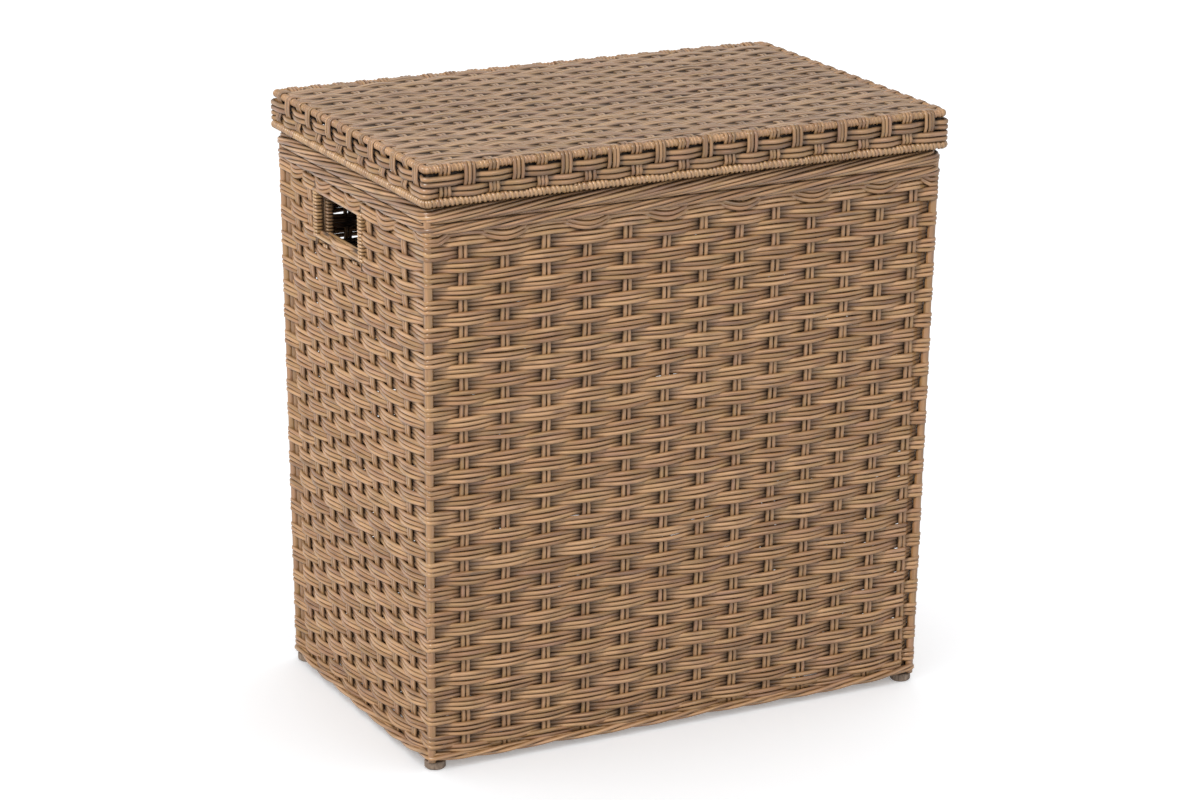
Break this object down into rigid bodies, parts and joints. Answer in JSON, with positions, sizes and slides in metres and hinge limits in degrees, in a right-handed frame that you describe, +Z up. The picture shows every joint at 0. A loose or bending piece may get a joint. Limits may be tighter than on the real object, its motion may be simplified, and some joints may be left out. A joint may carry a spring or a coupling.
{
  "type": "laundry basket",
  "caption": "Tall rectangular laundry basket woven from rattan on a pole frame, with a hinged woven lid, hand holes in the ends and low round feet.",
  "frame": {"origin": "on the floor, under the middle of the basket's plan", "axes": "+Z up, the front with no hinge faces -Y, the long side runs along X"},
  "size_m": [0.5652, 0.3765, 0.6],
  "materials": {
    "wall_weave": "satin woven rattan strand",
    "lid_weave": "satin woven rattan strand, a little greyer on top",
    "border_strand": "satin plaited rattan strand",
    "binding_strand": "satin wrapped rattan strand",
    "frame_pole": "satin rattan pole",
    "foot_wood": "matt turned wood",
    "screw_steel": "zinc plated"
  },
  "bodies": {
    "basket": {"foot_front_left": "foot_wood", "foot_screw_front_left": "screw_steel", "corner_post_front_left": "frame_pole", "foot_front_right": "foot_wood", "foot_screw_front_right": "screw_steel", "corner_post_front_right": "frame_pole", "foot_back_left": "foot_wood", "foot_screw_back_left": "screw_steel", "corner_post_back_left": "frame_pole", "foot_back_right": "foot_wood", "foot_screw_back_right": "screw_steel", "corner_post_back_right": "frame_pole", "base_rail_front": "frame_pole", "top_rail_front": "frame_pole", "wall_weave_front": "wall_weave", "base_border_front": "border_strand", "rim_border_front": "border_strand", "base_rail_back": "frame_pole", "top_rail_back": "frame_pole", "wall_weave_back": "wall_weave", "base_border_back": "border_strand", "rim_border_back": "border_strand", "base_rail_left": "frame_pole", "top_rail_left": "frame_pole", "wall_weave_left": "wall_weave", "base_border_left": "border_strand", "rim_border_left": "border_strand", "base_rail_right": "frame_pole", "top_rail_right": "frame_pole", "wall_weave_right": "wall_weave", "base_border_right": "border_strand", "rim_border_right": "border_strand", "base_crossbar_left": "frame_pole", "base_crossbar_middle": "frame_pole", "base_crossbar_right": "frame_pole", "base_panel": "wall_weave", "handle_binding_left": "binding_strand", "hinge_loop_left": "binding_strand", "handle_binding_right": "binding_strand", "hinge_loop_right": "binding_strand"},
    "lid": {"lid_low_hoop": "binding_strand", "lid_high_hoop": "frame_pole", "lid_crossbar_left": "frame_pole", "lid_crossbar_right": "frame_pole", "lid_top_weave": "lid_weave", "lid_skirt_front": "lid_weave", "lid_skirt_back": "lid_weave", "lid_skirt_left": "lid_weave", "lid_skirt_right": "lid_weave"}
  },
  "joints": [
    {"name": "lid_hinge", "type": "hinge", "parent": "basket", "child": "lid", "pos_m": [0, 0.1821, 0.5645], "axis": [-1, 0, 0], "range_deg": [0, 105]}
  ]
}
